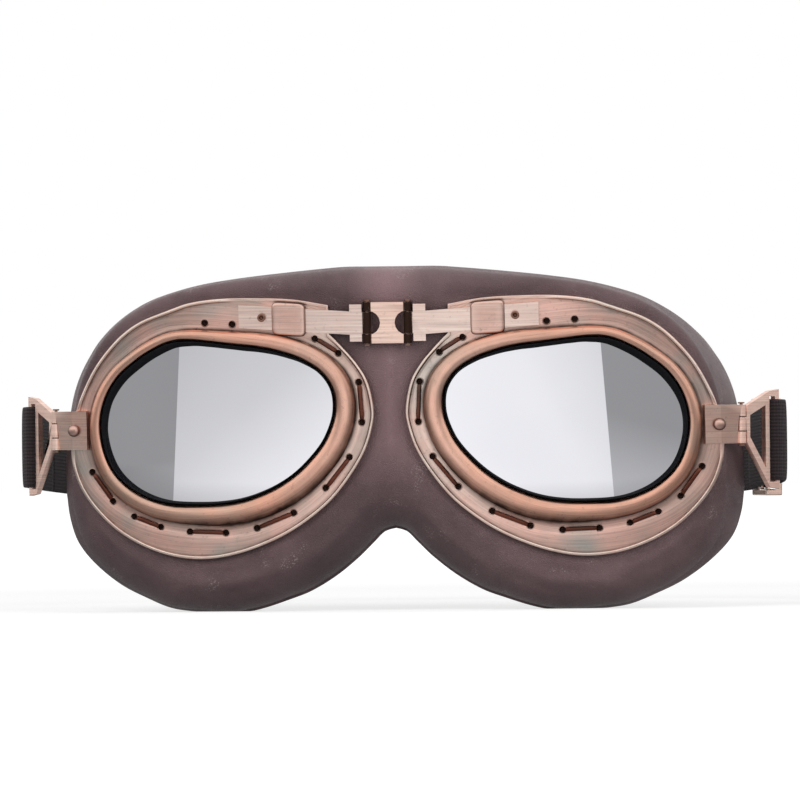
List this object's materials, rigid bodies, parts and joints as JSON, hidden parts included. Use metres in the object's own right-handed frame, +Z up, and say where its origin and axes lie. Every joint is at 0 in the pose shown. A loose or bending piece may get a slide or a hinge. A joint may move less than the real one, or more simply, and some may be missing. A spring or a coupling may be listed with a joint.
{
  "type": "pilot goggles",
  "caption": "Pilot goggles: two laced metal eye frames with split mirror lenses on a padded leather mask, joined by a hinged nose bridge, with a strap on swinging loops.",
  "frame": {"origin": "on the surface that the two lower lobes of the mask stand on, midway across the goggles and midway in depth with the strap's loop", "axes": "+X towards the right of the picture, +Y from the lenses towards the back of the strap, +Z up as worn"},
  "size_m": [0.214, 0.1546, 0.0945],
  "materials": {
    "frame copper": "antique copper plate, brushed along the frame, with darker patina in the recesses",
    "bezel copper": "antique copper plate, burnished brighter on the crown of the rim",
    "bridge copper": "bright brushed copper",
    "loop copper": "antique copper plate, satin",
    "pin copper": "darkened copper",
    "retainer copper": "darkened copper, hidden behind the frame plate",
    "lacing copper": "reddish oxidised copper wire",
    "gasket rubber": "matte black rubber",
    "lens": "silver-mirrored plastic sheet, folded once",
    "mask leather": "mauve-brown fine-grained leather, satin",
    "foam": "open-cell upholstery foam",
    "lining fleece": "short dark brown fleece",
    "strap elastic": "ribbed woven elastic, dark brown",
    "strap thread": "dense sewing thread"
  },
  "bodies": {
    "bridge": {"bridge_plate": "bridge copper", "bridge_pin_left": "pin copper", "bridge_pin_right": "pin copper", "nose_leather": "mask leather", "head_strap": "strap elastic", "strap_tack": "strap thread"},
    "left_eye": {"frame_left": "frame copper", "bezel_left": "bezel copper", "gasket_left": "gasket rubber", "lens_left": "lens", "retainer_left": "retainer copper", "arm_left": "bridge copper", "keeper_left": "frame copper", "arm_rivet_left": "pin copper", "side_plate_left": "frame copper", "side_rivet_left": "bezel copper", "loop_pin_left": "pin copper", "mask_left": "mask leather", "foam_left": "foam", "lining_left": "lining fleece", "lace_left_1": "lacing copper", "lace_left_2": "lacing copper", "lace_left_3": "lacing copper", "lace_left_4": "lacing copper", "lace_left_5": "lacing copper", "lace_left_6": "lacing copper", "lace_left_7": "lacing copper"},
    "right_eye": {"frame_right": "frame copper", "bezel_right": "bezel copper", "gasket_right": "gasket rubber", "lens_right": "lens", "retainer_right": "retainer copper", "arm_right": "bridge copper", "keeper_right": "frame copper", "arm_rivet_right": "pin copper", "side_plate_right": "frame copper", "side_rivet_right": "bezel copper", "loop_pin_right": "pin copper", "mask_right": "mask leather", "foam_right": "foam", "lining_right": "lining fleece", "lace_right_1": "lacing copper", "lace_right_2": "lacing copper", "lace_right_3": "lacing copper", "lace_right_4": "lacing copper", "lace_right_5": "lacing copper", "lace_right_6": "lacing copper", "lace_right_7": "lacing copper"},
    "left_loop": {"strap_loop_left": "loop copper"},
    "right_loop": {"strap_loop_right": "loop copper"},
    "slider": {"strap_slider": "loop copper"}
  },
  "joints": [
    {"name": "left_eye_hinge", "type": "hinge", "parent": "bridge", "child": "left_eye", "pos_m": [-0.0056, -0.07608, 0.0795], "axis": [0, 0, 1], "range_deg": [-12, 8], "deforming": ["nose_leather", "head_strap"]},
    {"name": "right_eye_hinge", "type": "hinge", "parent": "bridge", "child": "right_eye", "pos_m": [0.0056, -0.07608, 0.0795], "axis": [0, 0, 1], "range_deg": [-8, 12], "deforming": ["nose_leather", "head_strap"]},
    {"name": "left_loop_hinge", "type": "hinge", "parent": "left_eye", "child": "left_loop", "pos_m": [-0.0955, -0.04783, 0.0506], "axis": [0, 0, 1], "range_deg": [-15, 40], "deforming": ["head_strap"]},
    {"name": "right_loop_hinge", "type": "hinge", "parent": "right_eye", "child": "right_loop", "pos_m": [0.0955, -0.04783, 0.0506], "axis": [0, 0, 1], "range_deg": [-40, 15], "deforming": ["head_strap"]},
    {"name": "slider_slide", "type": "slide", "parent": "bridge", "child": "slider", "axis": [-0.3547, 0.935, 0], "range_m": [-0.012, 0.012], "deforming": ["head_strap"]}
  ]
}
